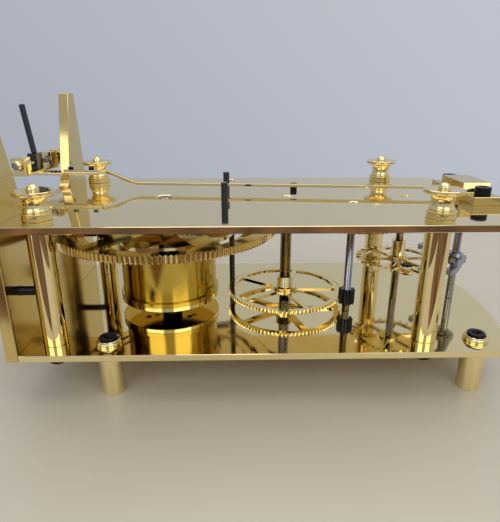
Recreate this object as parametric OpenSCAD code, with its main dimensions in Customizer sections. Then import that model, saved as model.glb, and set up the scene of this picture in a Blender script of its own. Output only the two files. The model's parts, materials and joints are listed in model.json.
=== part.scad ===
// Regulator movement of a longcase clock, resting face down on its dial posts.
// Origin: centre arbor axis on the plane of the dial posts' ends.
// +X points to the top of the clock, +Z to its back. Millimetres.

/* [Frame] */
// Thickness of each plate
plate_t = 3.5; // [3:0.1:4.5]
// Clear gap between the plates
plate_gap = 62; // [58:0.5:68]
// Side edge of the plates beyond the great wheel's teeth
plate_over = 0.7; // [0.5:0.1:4]
// Gap between the great wheel's teeth and the seat board
board_gap = 1.4; // [0.8:0.1:4]
// Top of the plate's arch, measured from the centre arbor
plate_top = 121; // [118:0.5:126]
// Rise of the arch over the plate's corners
arch_rise = 15; // [12:0.5:20]
// Seat board to the lower pillars' axes
pillar_end = 13.7; // [12.5:0.1:14]
// Centre arbor to the upper pillars
pillar_high = 69; // [66:0.5:74]
// Side edge of the plates to the pillars' axes
pillar_inset = 14.5; // [12:0.1:14.6]
// Radius of a pillar
pillar_r = 6.2; // [5.8:0.1:6.6]
// Radius of a pillar's spigot through the back plate
spigot_r = 3; // [2.5:0.1:3.5]
// Height of a finial nut's collar
nut_collar_h = 3.8; // [3.4:0.1:4.4]
// Radius of a finial nut's collar
nut_collar_r = 7; // [6.4:0.1:7.4]
// Radius of a finial nut's waist
nut_waist_r = 5; // [4.6:0.1:5.2]
// Radius of a finial nut's dished rim
nut_rim_r = 9.6; // [8.6:0.1:10]
// Height of a finial nut's rim above the plate
nut_h = 14; // [13:0.2:16]
// Radius of the small knob on a finial nut
nut_knob_r = 3; // [2.4:0.1:3.2]
// Height of the small knob on a finial nut
nut_knob_h = 3.6; // [3.4:0.1:4.5]

/* [Dial posts] */
// Length of a dial post
post_len = 25; // [24:0.5:30]
// Radius of a dial post
post_r = 6; // [5.5:0.1:6.5]
// Half spacing of the dial posts along the clock
post_half_x = 96; // [92:0.5:100]
// Half spacing of the dial posts across the clock
post_half_y = 53; // [50:0.5:56]
// Tap drill radius in a post's end
post_tap_r = 2.1; // [1.6:0.1:2.5]
// Depth of the tapped hole in a post's end
post_tap_depth = 10; // [8:0.5:10]

/* [Screws] */
// Shank radius of the large black screws
screw_r = 2.5; // [2:0.1:2.8]
// Head radius of the pillar screws
pillar_head_r = 5; // [4.5:0.1:5.2]
// Head height of the pillar screws
pillar_head_h = 7.2; // [6:0.2:8]
// Head radius of the dial post screws
post_head_r = 4.5; // [4.2:0.1:4.7]
// Head height of the dial post screws
post_head_h = 2.8; // [2.4:0.2:3.2]
// Length of thread in a pillar or a post
screw_grip = 9; // [7:0.5:9]
// Radius of a dial post screw's cup washer
washer_r = 6.4; // [6:0.1:7]
// Thickness of a cup washer
washer_t = 2.8; // [2.4:0.1:3.2]

/* [Seat board] */
// Thickness of the seat board
board_t = 6; // [5:0.5:8]
// Reach of the board's arms behind the back plate
arm_reach = 57; // [50:0.5:62]
// Half gap of the pendulum slot at its bottom
slot_half_low = 33; // [32:0.5:36]
// Half gap of the pendulum slot at the arms' ends
slot_half_high = 50; // [44:0.5:52]
// Half width of the board at the arms' ends
board_half_top = 60.5; // [59:0.5:65]
// Radius in the bottom corners of the pendulum slot
slot_corner_r = 9; // [5:0.5:12]
// Height of the seat screws above the front plate
seat_screw_h = 29; // [20:0.5:36]
// Shank radius of the seat screws
seat_screw_r = 2.3; // [1.8:0.1:2.6]

/* [Train] */
// Barrel arbor to centre arbor
barrel_dist = 70.8; // [70.4:0.1:71.2]
// Teeth of the great wheel
great_teeth = 160; // [160:10:180]
// Leaves of the centre pinion
centre_leaves = 16; // [16:1:18]
// Thickness of the great wheel
great_t = 4; // [3:0.2:4.4]
// Underside of the great wheel above the front plate
great_h = 47; // [46:0.5:48]
// Third arbor above the centre arbor, towards the clock's top
third_x = 35; // [34.5:0.1:36]
// Third arbor to the side of the centre line
third_y = 17; // [16:0.1:18]
// Teeth of the centre wheel
centre_teeth = 96; // [90:6:102]
// Leaves of the third pinion
third_leaves = 12; // [12:1:14]
// Underside of the centre wheel above the front plate
centre_h = 6; // [5.5:0.1:7]
// Escape arbor above the centre arbor
escape_x = 68.9; // [68.5:0.1:69.5]
// Teeth of the third wheel
third_teeth = 90; // [84:6:96]
// Leaves of the escape pinion
escape_leaves = 12; // [12:1:14]
// Underside of the third wheel below the back plate
third_drop = 5.2; // [5:0.1:6.5]
// Thickness of the centre and third wheels
wheel_t = 2; // [1.6:0.1:2.4]
// Length of the third and escape pinions
pinion_len = 9; // [6:0.5:10]
// Radius of the third, escape and pallet arbors
arbor_r = 2.2; // [1.8:0.1:2.4]
// Radius of the fine pivots
pivot_r = 1.1; // [0.9:0.1:1.4]
// Radius of the centre arbor
centre_arbor_r = 3.3; // [3:0.1:3.5]
// Radius of the centre arbor's front pivot
centre_pivot_r = 2.4; // [2:0.1:2.6]
// Radius of the brass collets
collet_r = 4; // [3.8:0.1:4.4]

/* [Crossings] */
// Rim width of the great wheel
great_rim = 6.5; // [5:0.5:8]
// Spokes of the great wheel
great_spokes = 6; // [5:1:6]
// Width of a great wheel's spoke at the hub
great_spoke_w = 17; // [14:0.5:18]
// Rim width of the centre and third wheels
train_rim = 2.5; // [2:0.1:3]
// Spokes of the centre and third wheels
train_spokes = 5; // [4:1:6]
// Width of a train wheel's spoke at the hub
train_spoke_w = 4.4; // [3.6:0.1:5]
// Rim width of the escape wheel
escape_rim = 1.8; // [1.4:0.1:2.4]
// Spokes of the escape wheel
escape_spokes = 6; // [4:1:6]
// Width of an escape wheel's spoke at the hub
escape_spoke_w = 3; // [2.4:0.1:3.6]
// Rim width of the motion wheels
motion_rim = 2.1; // [1.8:0.1:2.6]
// Spokes of the motion wheels
motion_spokes = 5; // [4:1:6]
// Width of a motion wheel's spoke at the hub
motion_spoke_w = 4; // [3.2:0.1:4.6]
// Width of a spoke at the rim, as a share of its width at the hub
spoke_taper = 0.75; // [0.6:0.05:0.9]

/* [Barrel] */
// Radius of the barrel's drum
drum_r = 28; // [26:0.5:30]
// Wall of the drum
drum_wall = 3; // [2.5:0.1:4]
// Step of the drum's end flanges
drum_flange = 1.5; // [1:0.1:2]
// Front end of the barrel above the front plate
drum_h = 5.5; // [4.5:0.1:7]
// Thickness of the barrel's front cap
cap_t = 2.5; // [2:0.1:3]
// Radius of the barrel arbor
barrel_arbor_r = 6; // [5:0.1:6.5]
// Radius of the barrel arbor's pivots
barrel_pivot_r = 4; // [3.5:0.1:4.5]
// Side of the winding square
square_side = 5.2; // [4.6:0.1:5.6]
// Length of the winding square
square_len = 14; // [12:0.5:18]
// Tip radius of the winding ratchet
ratchet_r = 22; // [20:0.5:24]
// Thickness of the winding ratchet
ratchet_t = 3.6; // [3:0.1:4]
// Tip radius of the maintaining ratchet
keeper_r = 52; // [50:0.5:54]
// Thickness of the maintaining ratchet
keeper_t = 2; // [1.8:0.1:2.4]
// Teeth of the winding ratchet
ratchet_teeth = 40; // [30:2:48]
// Teeth of the maintaining ratchet
keeper_teeth = 120; // [100:10:140]

/* [Maintaining work] */
// Gap between the great wheel's teeth and the detent arbor
detent_gap = 1; // [0.6:0.1:1.4]
// Angle of the detent arbor about the barrel, from the centre line
detent_angle = 57; // [55:0.5:60]
// Radius of the detent arbor
detent_r = 2; // [1.6:0.1:2.1]
// Angle from the detent arbor to its tip, about the barrel
detent_lead = 22; // [20:0.5:26]
// Spring screw above the centre arbor
spring_x = 6.4; // [5:0.1:8]
// Spring screw to the side of the centre line
spring_y = 23.7; // [22:0.1:26]
// Thickness of the blade springs
blade_t = 0.6; // [0.4:0.1:0.8]

/* [Escapement] */
// Teeth of the escape wheel
escape_teeth = 30; // [24:2:32]
// Tip radius of the escape wheel
escape_r = 25; // [24:0.2:25.4]
// Escape wheel above the front plate
escape_h = 26; // [24:0.5:28]
// Thickness of the escape wheel
escape_t = 1.6; // [1.2:0.1:2]
// Escape arbor to pallet arbor
pallet_dist = 35.8; // [35.6:0.1:36.2]
// Thickness of the pallets
pallet_t = 3.2; // [2.8:0.1:4]
// Width of a pallet nib
nib_w = 3.4; // [2.6:0.1:4]

/* [Crutch] */
// Width of the crutch arm
crutch_w = 3.5; // [3:0.1:4]
// Thickness of the crutch arm
crutch_t = 1.5; // [1.2:0.1:1.6]
// Underside of the arm above the back plate
crutch_low = 3.9; // [3.6:0.1:4]
// Underside of the raised arm above the back plate
crutch_high = 11; // [10:0.1:12]
// Length of the arm's rise
joggle_len = 16.5; // [14:0.5:20]
// Length of the raised arm that lies on the foot
arm_lap = 23; // [20:0.5:26]
// Arm's end before the beat screw
arm_short = 18; // [16:0.5:20]
// Foot's end beyond the beat screw
foot_tail = 10; // [8:0.5:12]
// Thickness of the foot
foot_t = 1.5; // [1.4:0.1:2]
// Width of the foot beyond the arm
foot_w = 11; // [10:0.5:13]
// Beat screw outside the seat board
beat_out = 11.7; // [11:0.1:14]
// Half gap between the ears that carry the beat screw
yoke_half = 12.5; // [11.5:0.5:15]
// Thickness of the yoke that joins the ears
yoke_t = 1.5; // [1.2:0.1:2]
// Thickness of the ears along the beat screw
ear_t = 7.5; // [5:0.5:8]
// Width of the ears
ear_w = 8; // [7:0.5:9]
// Height of the ears over the foot
ear_h = 10.5; // [9.5:0.5:11]
// Height of the beat screw over the foot
beat_axis_h = 6; // [5.6:0.1:6.4]
// Radius of the beat screw
beat_r = 2; // [1.5:0.1:2]
// Radius of the beat knob
knob_r = 5.5; // [4.5:0.1:5.6]
// Length of the beat knob's rim
knob_len = 6; // [4:0.2:6.4]
// Radius of the beat nut
beat_nut_r = 3; // [2.7:0.1:3.4]
// Length of the beat nut
beat_nut_len = 2.4; // [2:0.2:3]
// Length of the sliding block along the beat screw
block_len = 7; // [6:0.2:8]
// Width of the sliding block across the beat screw
block_w = 5.6; // [5.2:0.2:6.4]
// Height of the sliding block
block_h = 9.7; // [9:0.1:11]
// Radius of the crutch pin
pin_r = 1.7; // [1.4:0.1:2]
// Length of the crutch pin
pin_len = 28.5; // [25:0.5:34]
// Lean of the crutch pin
pin_lean = 6.5; // [0:0.5:8]

/* [Back cock] */
// Width of the back cock
cock_w = 15.5; // [14:0.5:16]
// Half span of the back cock
cock_half_y = 28; // [26:0.5:30]
// Half span of the cock's bridge
bridge_half_y = 14; // [13:0.5:16]
// Thickness of the cock's feet
cock_foot_t = 4.7; // [4:0.1:5]
// Top of the cock's bridge above the back plate
cock_h = 10; // [9.5:0.1:11]
// Thickness of the cock's bridge
bridge_t = 4; // [3.5:0.1:4]
// Centre arbor to the banking pins
bank_x = 35.8; // [34:0.2:38]
// Half spacing of the banking pins
bank_half_y = 18; // [17.9:0.1:18.6]
// Radius of a banking pin
bank_r = 1.9; // [1.6:0.1:2]
// Height of a banking pin
bank_h = 11.5; // [10:0.5:13]

/* [Motion work] */
// Centre arbor to the minute wheel's stud
minute_dist = 26; // [25:0.5:27]
// Teeth of the cannon pinion
cannon_teeth = 30; // [28:2:32]
// Teeth of the minute wheel
minute_teeth = 60; // [56:4:64]
// Leaves of the minute pinion
minute_leaves = 12; // [10:1:14]
// Teeth of the hour wheel
hour_teeth = 72; // [66:6:78]
// Thickness of the motion wheels
motion_t = 2; // [1.6:0.1:2.2]

/* [Fits] */
// Radial clearance of a pivot in its hole
pivot_play = 0.05; // [0.03:0.01:0.08]
// End shake of an arbor at each shoulder
end_shake = 0.15; // [0.1:0.05:0.25]
// Clearance of a screw in its hole
screw_play = 0.05; // [0.02:0.01:0.1]
// Radial clearance of a wheel or collet on its seat
seat_play = 0.02; // [0.01:0.01:0.05]
// Gap between parts that slide or turn past each other
run_gap = 0.3; // [0.2:0.05:0.4]

/* [Hidden] */

// Tooth proportions, in modules or in shares of the pitch
wheel_add = 0.8;
leaf_add = 0.55;
tooth_ded = 1.15;
foot_share = 0.56;
tip_share = 0.2;

// Great wheel, and the plates and pillars round it
function module_of(d, teeth, leaves) = 2 * d / (teeth + leaves);
function polar(r, a) = [r * cos(a), r * sin(a)];
barrel_at = [-barrel_dist, 0];
great_m = module_of(barrel_dist, great_teeth, centre_leaves);
great_tip = great_teeth * great_m / 2 + wheel_add * great_m;
plate_half_w = great_tip + plate_over;
plate_low = barrel_dist + great_tip + board_gap;
pillar_low = plate_low - pillar_end;
pillar_half_y = plate_half_w - pillar_inset;
detent_at = barrel_at + polar(great_tip + detent_gap + detent_r, detent_angle);

$fn = 64;

// Levels of the plates' faces
front_out = post_len;
front_in = front_out + plate_t;
back_in = front_in + plate_gap;
back_out = back_in + plate_t;
eps = 0.01;
far = 400;

// Finishes
brass = "#c9a24a";
satin_brass = "#b08f45";
steel = "#8d9097";
black_steel = "#23242a";

// Places of the pillars and dial posts, as near or far and low or high
function pillar_at(side, high) = [high ? pillar_high : -pillar_low, side * pillar_half_y];
function post_at(side, high) = [(high ? 1 : -1) * post_half_x, side * post_half_y];
CORNERS = [[-1, false], [-1, true], [1, false], [1, true]];

// Arbor places
third_at = [third_x, -third_y];
escape_at = [escape_x, 0];
pallet_at = [escape_x + pallet_dist, 0];
stud_at = [0, minute_dist];

// Gear sizes from the arbor distances
function dist(a, b) = norm(b - a);
function heading(a, b) = atan2(b[1] - a[1], b[0] - a[0]);
centre_m = module_of(norm(third_at), centre_teeth, third_leaves);
third_m = module_of(dist(third_at, escape_at), third_teeth, escape_leaves);
cannon_m = module_of(minute_dist, minute_teeth, cannon_teeth);
hour_m = module_of(minute_dist, hour_teeth, minute_leaves);
centre_heading = heading([0, 0], third_at);
third_heading = heading(third_at, escape_at);

// Points of a gear's outline: each tooth has a root, two flanks and a narrow tip
function gear_points(teeth, m, phase, add) = [
    for (i = [0 : teeth - 1])
        let (
            a = phase + i * 360 / teeth,
            pitch = 360 / teeth,
            root = teeth * m / 2 - tooth_ded * m,
            tip = teeth * m / 2 + add * m
        )
        each [
            polar(root, a - foot_share * pitch / 2),
            polar(tip, a - tip_share * pitch / 2),
            polar(tip, a + tip_share * pitch / 2),
            polar(root, a + foot_share * pitch / 2)
        ]
];

// Points of a sawtooth ratchet
rake_share = 0.08;
function ratchet_points(teeth, tip, depth) = [
    for (i = [0 : teeth - 1])
        each [polar(tip - depth, i * 360 / teeth), polar(tip, (i + rake_share) * 360 / teeth)]
];

module gear(teeth, m, phase, add, t) {
    linear_extrude(t) polygon(gear_points(teeth, m, phase, add));
}

// Crossings left open between a wheel's rim and its hub
module crossings(rim_in, hub, spokes, wide, t) {
    narrow = wide * spoke_taper;
    difference() {
        translate([0, 0, -eps]) cylinder(r = rim_in, h = t + 2 * eps);
        translate([0, 0, -1]) cylinder(r = hub, h = t + 2);
        for (i = [0 : spokes - 1])
            rotate(i * 360 / spokes)
                translate([0, 0, -1])
                    linear_extrude(t + 2)
                        polygon([
                            [0, -wide / 2], [rim_in + 1, -narrow / 2], [rim_in + 1, narrow / 2], [0, wide / 2]
                        ]);
    }
}

// Crossed-out wheel with its teeth, standing on z = 0
module crossed_wheel(teeth, m, phase, t, rim_w, hub, spokes, wide, bore) {
    difference() {
        gear(teeth, m, phase, wheel_add, t);
        crossings(teeth * m / 2 - tooth_ded * m - rim_w, hub, spokes, wide, t);
        translate([0, 0, -1]) cylinder(r = bore, h = t + 2);
    }
}

// Shaft with a pivot at each end, running between the plates
module between_plates(r, front_r, back_r) {
    translate([0, 0, front_in + end_shake]) cylinder(r = r, h = plate_gap - 2 * end_shake);
    translate([0, 0, front_out]) cylinder(r = front_r, h = plate_t + 1);
    translate([0, 0, back_in - 1]) cylinder(r = back_r, h = plate_t + 1);
}

module at(p) {
    translate([p[0], p[1], 0]) children();
}

module hole(p, r, z, h) {
    translate([p[0], p[1], z - 1]) cylinder(r = r, h = h + 2);
}

// Frame: plates, with an oil sink round each pivot on a plate's outer face

sink_r = 2.8;
sink_depth = 0.9;
sink_land = 0.4;

module oil_sink(p, hole_r, face, up) {
    translate([p[0], p[1], face]) mirror([0, 0, up ? 0 : 1]) translate([0, 0, -sink_depth])
        cylinder(r1 = hole_r + sink_land, r2 = hole_r + sink_land + sink_r - pivot_r, h = sink_depth + eps);
}

arch_r = (plate_half_w * plate_half_w + arch_rise * arch_rise) / (2 * arch_rise);

module plate_blank(z) {
    intersection() {
        translate([-plate_low, -plate_half_w, z]) cube([plate_low + plate_top, 2 * plate_half_w, plate_t]);
        translate([plate_top - arch_r, 0, z - 1]) cylinder(r = arch_r, h = plate_t + 2, $fn = 128);
    }
}

module front_plate() {
    color(brass) difference() {
        plate_blank(front_out);
        for (c = CORNERS) {
            hole(pillar_at(c[0], c[1]), screw_r + screw_play, front_out, plate_t);
            hole(post_at(c[0], c[1]), screw_r + screw_play, front_out, plate_t);
        }
        hole(barrel_at, barrel_pivot_r + pivot_play, front_out, plate_t);
        hole([0, 0], centre_pivot_r + pivot_play, front_out, plate_t);
        for (p = [third_at, escape_at, pallet_at, detent_at])
            hole(p, pivot_r + pivot_play, front_out, plate_t);
        for (p = [third_at, pallet_at, detent_at])
            oil_sink(p, pivot_r, front_out, false);
        oil_sink(barrel_at, barrel_pivot_r, front_out, false);
        hole(stud_at, stud_foot_r + screw_play, front_out, plate_t);
    }
}

module back_plate() {
    color(brass) difference() {
        plate_blank(back_in);
        for (c = CORNERS)
            hole(pillar_at(c[0], c[1]), spigot_r + screw_play, back_in, plate_t);
        hole(barrel_at, barrel_pivot_r + pivot_play, back_in, plate_t);
        for (p = [[0, 0], third_at, escape_at, detent_at])
            hole(p, pivot_r + pivot_play, back_in, plate_t);
        for (p = [[0, 0], third_at, escape_at, detent_at])
            oil_sink(p, pivot_r, back_out, true);
        oil_sink(barrel_at, barrel_pivot_r, back_out, true);
        hole(pallet_at, pallet_hole_r, back_in, plate_t);
        for (s = [-1, 1]) {
            hole([-bank_x, s * bank_half_y], bank_shank_r + screw_play, back_in, plate_t);
            hole(cock_screw_at(s), cock_screw_r + screw_play, back_in, plate_t);
        }
        hole([spring_x, spring_y], small_screw_r + screw_play, back_in, plate_t);
    }
}

// Frame: pillars, nuts and dial posts

spigot_len = plate_t + nut_collar_h;
rim_t = 1.8;
// Turned profile of a finial nut: foot of the waist, hollow of the waist, beaded rim and dished top
waist_foot_r = nut_waist_r + 1;
waist_curve = 4.5;
waist_mid = 8.4;
flare_r = nut_waist_r + 2.4;
bead = 0.3;
dish = 0.7;
dish_edge = 1.2;

module pillar(side, high) {
    p = pillar_at(side, high);
    color(brass) difference() {
        at(p) union() {
            translate([0, 0, front_in]) cylinder(r = pillar_r, h = plate_gap);
            translate([0, 0, back_in - 1]) cylinder(r = spigot_r, h = spigot_len + 1);
        }
        hole(p, screw_r + screw_play, front_in, screw_grip - 1);
        if (!high)
            translate([p[0] - pillar_r - 1, p[1], front_in + seat_screw_h])
                rotate([0, 90, 0]) cylinder(r = seat_screw_r + screw_play, h = seat_grip + 1);
    }
}

// Turned profile of a finial nut with its blind bore
module finial_nut(side, high) {
    p = pillar_at(side, high);
    color(brass) translate([p[0], p[1], back_out]) difference() {
        rotate_extrude() {
            square([nut_collar_r, nut_collar_h]);
            difference() {
                union() {
                    square([waist_foot_r, waist_mid]);
                    translate([0, waist_mid]) square([flare_r, nut_h - rim_t - waist_mid]);
                }
                translate([nut_waist_r + waist_curve, waist_mid]) circle(r = waist_curve);
            }
            polygon([
                [0, nut_h - rim_t], [flare_r, nut_h - rim_t], [nut_rim_r - bead, nut_h - 4 * bead],
                [nut_rim_r, nut_h - 3.4 * bead], [nut_rim_r, nut_h - 2.4 * bead],
                [nut_rim_r - bead, nut_h - 2 * bead], [nut_rim_r, nut_h - 1.6 * bead],
                [nut_rim_r, nut_h - 0.6 * bead], [nut_rim_r - bead, nut_h],
                [nut_knob_r + dish_edge, nut_h - dish], [0, nut_h - dish]
            ]);
            translate([0, nut_h - dish - eps]) square([nut_knob_r, nut_knob_h - nut_knob_r + eps]);
            intersection() {
                translate([0, nut_h - dish + nut_knob_h - nut_knob_r]) circle(r = nut_knob_r);
                translate([0, nut_h - dish]) square([nut_knob_r, nut_knob_h]);
            }
        }
        translate([0, 0, -1]) cylinder(r = spigot_r + screw_play, h = nut_collar_h + 1 + run_gap);
    }
}

module dial_post(side, high) {
    p = post_at(side, high);
    color(satin_brass) difference() {
        at(p) cylinder(r = post_r, h = post_len);
        translate([p[0], p[1], -1]) cylinder(r = post_tap_r, h = post_tap_depth + 1);
        translate([p[0], p[1], post_len - screw_grip])
            cylinder(r = screw_r + screw_play, h = screw_grip + 1);
    }
}

module pillar_near_low() pillar(-1, false);
module pillar_near_high() pillar(-1, true);
module pillar_far_low() pillar(1, false);
module pillar_far_high() pillar(1, true);
module nut_near_low() finial_nut(-1, false);
module nut_near_high() finial_nut(-1, true);
module nut_far_low() finial_nut(1, false);
module nut_far_high() finial_nut(1, true);
module post_near_low() dial_post(-1, false);
module post_near_high() dial_post(-1, true);
module post_far_low() dial_post(1, false);
module post_far_high() dial_post(1, true);

// Black cap screw with a socket, head down on z = 0 and its shank pointing up
socket_share = 0.55;
socket_depth_share = 0.6;

module cap_screw(r, head_r, head_h, len) {
    difference() {
        union() {
            translate([0, 0, -head_h]) cylinder(r = head_r, h = head_h);
            translate([0, 0, -eps]) cylinder(r = r, h = len + eps);
        }
        translate([0, 0, -head_h - 1])
            cylinder(r = head_r * socket_share, h = head_h * socket_depth_share + 1, $fn = 6);
    }
}

module pillar_screws() {
    color(black_steel) for (c = CORNERS)
        at(pillar_at(c[0], c[1]))
            translate([0, 0, front_out])
                cap_screw(screw_r, pillar_head_r, pillar_head_h, plate_t + screw_grip - run_gap);
}

// Cup washer: its sloped side, the floor under the screw's head and the space round the head
washer_slope = 0.8;
cup_floor = 1.2;
cup_gap = 0.4;

module post_screws() {
    len = cup_floor + plate_t + screw_grip - run_gap;
    color(black_steel) for (c = CORNERS)
        at(post_at(c[0], c[1]))
            translate([0, 0, front_in + cup_floor])
                rotate([180, 0, 0]) cap_screw(screw_r, post_head_r, post_head_h, len);
}

module post_washers() {
    color(brass) for (c = CORNERS)
        at(post_at(c[0], c[1]))
            difference() {
                translate([0, 0, front_in])
                    cylinder(r1 = washer_r, r2 = washer_r - washer_slope, h = washer_t);
                hole([0, 0], screw_r + screw_play, front_in, washer_t);
                translate([0, 0, front_in + cup_floor]) cylinder(r = post_head_r + cup_gap, h = washer_t);
            }
}

// Seat board with the pendulum slot between its arms

seat_grip = 8;
seat_head_r = 4.2;
seat_head_h = 3.4;
seat_recess = 0.2;
seat_sink = seat_head_h + seat_recess;
board_out = -plate_low - board_t;
slot_slope = atan2(slot_half_high - slot_half_low, arm_reach);

// Slot whose bottom corners are rounded by circles that touch its bottom and its sides
module slot_outline() {
    run = slot_corner_r / tan((90 + slot_slope) / 2);
    side_x = slot_half_low + run * sin(slot_slope);
    side_z = back_out + run * cos(slot_slope);
    top_x = slot_half_high + tan(slot_slope);
    top_z = back_out + arm_reach + 1;
    polygon([
        [-slot_half_low + run, back_out], [slot_half_low - run, back_out], [side_x, side_z],
        [top_x, top_z], [-top_x, top_z], [-side_x, side_z]
    ]);
    for (s = [-1, 1])
        translate([s * (slot_half_low - run), back_out + slot_corner_r]) circle(r = slot_corner_r);
}

module board_outline() {
    difference() {
        polygon([
            [-plate_half_w, front_out], [plate_half_w, front_out], [plate_half_w, back_out],
            [board_half_top, back_out + arm_reach], [-board_half_top, back_out + arm_reach],
            [-plate_half_w, back_out]
        ]);
        slot_outline();
    }
}

module seat_board() {
    color(satin_brass) difference() {
        translate([board_out, 0, 0])
            rotate([90, 0, 90]) linear_extrude(board_t) board_outline();
        for (s = [-1, 1])
            translate([board_out - 1, s * pillar_half_y, front_in + seat_screw_h]) rotate([0, 90, 0]) {
                cylinder(r = seat_screw_r + screw_play, h = board_t + 2);
                cylinder(r = seat_head_r + seat_recess, h = seat_sink + 1);
            }
    }
}

module seat_screws() {
    reach = board_t - seat_sink + (plate_low - pillar_low - pillar_r) + seat_grip - run_gap;
    color(black_steel) for (s = [-1, 1])
        translate([board_out + seat_sink, s * pillar_half_y, front_in + seat_screw_h])
            rotate([0, 90, 0]) cap_screw(seat_screw_r, seat_head_r, seat_head_h, reach);
}

// Back cock and the small fittings on the back plate

cock_screw_r = 2;
cock_head_r = 4.2;
cock_head_h = 4.4;
small_screw_r = 1.2;
small_head_r = 2.1;
small_head_h = 3.6;
bank_shank_r = 1.3;
pallet_hole_r = 4.6;
riser_w = 3;
cock_set = 8.7;
cock_low = pallet_at[0] - cock_set;
function cock_screw_at(s) = [cock_low + cock_w / 2, s * (cock_half_y + bridge_half_y) / 2];

module back_cock() {
    color(brass) difference() {
        translate([cock_low, 0, back_out]) union() {
            for (s = [-1, 1])
                translate([0, s > 0 ? bridge_half_y - riser_w : -cock_half_y, 0])
                    cube([cock_w, cock_half_y - bridge_half_y + riser_w, cock_foot_t]);
            for (s = [-1, 1])
                translate([0, s > 0 ? bridge_half_y - riser_w : -bridge_half_y, 0])
                    cube([cock_w, riser_w, cock_h]);
            translate([0, -bridge_half_y, cock_h - bridge_t]) cube([cock_w, 2 * bridge_half_y, bridge_t]);
        }
        hole(pallet_at, pivot_r + pivot_play, back_out + cock_h - bridge_t, bridge_t);
        for (s = [-1, 1])
            hole(cock_screw_at(s), cock_screw_r + screw_play, back_out, cock_foot_t);
    }
}

module cock_screws() {
    color(black_steel) for (s = [-1, 1])
        at(cock_screw_at(s))
            translate([0, 0, back_out + cock_foot_t])
                rotate([180, 0, 0])
                    cap_screw(cock_screw_r, cock_head_r, cock_head_h, cock_foot_t + plate_t);
}

module banking_pins() {
    color(black_steel) for (s = [-1, 1])
        at([-bank_x, s * bank_half_y]) {
            translate([0, 0, back_out]) cylinder(r = bank_r, h = bank_h);
            translate([0, 0, back_in]) cylinder(r = bank_shank_r, h = plate_t + 1);
        }
}

// Blade spring of the maintaining detent, on a block under the back plate

spring_block = [8, 6, 4.5];
blade_set = 0.5;
spring_side = heading([spring_x, spring_y], detent_at) - 90;
spring_aim = detent_at + polar(detent_r + run_gap + blade_t / 2, spring_side);
spring_run = dist([spring_x, spring_y], spring_aim);
spring_heading = heading([spring_x, spring_y], spring_aim);

module detent_spring() {
    color(steel) difference() {
        translate([spring_x, spring_y, back_in - spring_block[2]]) rotate(spring_heading) union() {
            translate([-spring_block[0] / 2, -spring_block[1] / 2, 0]) cube(spring_block);
            translate([0, -blade_t / 2, blade_set])
                cube([spring_run, blade_t, spring_block[2] - 2 * blade_set]);
        }
        hole([spring_x, spring_y], small_screw_r + screw_play, back_in - spring_block[2], spring_block[2]);
    }
}

module spring_screw() {
    color(black_steel) at([spring_x, spring_y])
        translate([0, 0, back_out])
            rotate([180, 0, 0])
                cap_screw(small_screw_r, small_head_r, small_head_h, plate_t + spring_block[2] - blade_set);
}

// Great wheel, maintaining ratchet and click

great_z = front_in + great_h;
keeper_z = great_z - keeper_t;
ratchet_z = keeper_z - run_gap - ratchet_t;
great_hub = 15;
keeper_depth = 1.3;
keeper_rim = 5;
keeper_land = 6;
keeper_spoke_w = 14;
click_set = 12;
click_at_r = ratchet_r + click_set;
click_r = 3;
click_screw_r = 1.4;
click_t = 2.4;
click_z = keeper_z - run_gap - click_t;
click_angle = 40;
click_lead = 34;
click_tip = polar(ratchet_r + run_gap, click_lead);

module great_wheel() {
    color(brass) at(barrel_at) translate([0, 0, great_z])
        crossed_wheel(
            great_teeth, great_m, 0, great_t,
            great_rim, great_hub, great_spokes, great_spoke_w, barrel_arbor_r + pivot_play
        );
}

module keeper_ratchet() {
    color(brass) at(barrel_at) translate([0, 0, keeper_z]) difference() {
        linear_extrude(keeper_t) polygon(ratchet_points(keeper_teeth, keeper_r, keeper_depth));
        crossings(keeper_r - keeper_rim, click_at_r + keeper_land, great_spokes, keeper_spoke_w, keeper_t);
        translate([0, 0, -1]) cylinder(r = barrel_arbor_r + pivot_play, h = keeper_t + 2);
        rotate(click_angle) translate([click_at_r, 0, -1])
            cylinder(r = click_screw_r + screw_play, h = keeper_t + 2);
    }
}

// Click beside the winding ratchet, drawn just clear of its tips
click_tail = [click_at_r + 2, 2.2];
click_belly = [click_at_r - 2.4, -1.8];
click_nose = click_tip + [1.6, 2.2];

module click() {
    color(steel) at(barrel_at) rotate(click_angle) translate([0, 0, click_z]) difference() {
        union() {
            translate([click_at_r, 0, 0]) cylinder(r = click_r, h = click_t);
            linear_extrude(click_t) polygon([click_belly, click_tail, click_nose, click_tip]);
        }
        translate([click_at_r, 0, -1]) cylinder(r = click_screw_r + pivot_play, h = click_t + 2);
    }
}

click_head_r = 2.6;
click_head_h = 1.6;

module click_screw() {
    color(black_steel) at(barrel_at) rotate(click_angle) translate([click_at_r, 0, click_z - run_gap]) {
        cylinder(r = click_screw_r, h = click_t + 2 * run_gap + keeper_t);
        translate([0, 0, -click_head_h]) cylinder(r = click_head_r, h = click_head_h);
    }
}

// Blade whose end presses on the click's back, clear of it by the click's lift
click_clear = 0.9;
blade_h = 2;
blade_foot = polar(click_at_r + 3, 62);
blade_tip = (click_tail + click_nose) / 2 + polar(click_clear, heading(click_tail, click_nose) - 90);
blade_block = [6, 5];

module click_spring() {
    color(steel) at(barrel_at) rotate(click_angle)
        translate([blade_foot[0], blade_foot[1], keeper_z - blade_h])
        rotate(heading(blade_foot, blade_tip)) {
            cube([dist(blade_foot, blade_tip), blade_t, blade_h]);
            translate([-blade_block[0] / 2, -blade_block[1] / 2, 0])
                cube([blade_block[0], blade_block[1], blade_h]);
        }
}

// Barrel and its arbor

drum_z = front_in + drum_h;
drum_len = ratchet_z - drum_z - cap_t;
flange_w = 2.4;
ratchet_depth = 1.8;
cap_hole_r = 1.6;
cap_holes_at = 17.4;

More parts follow.
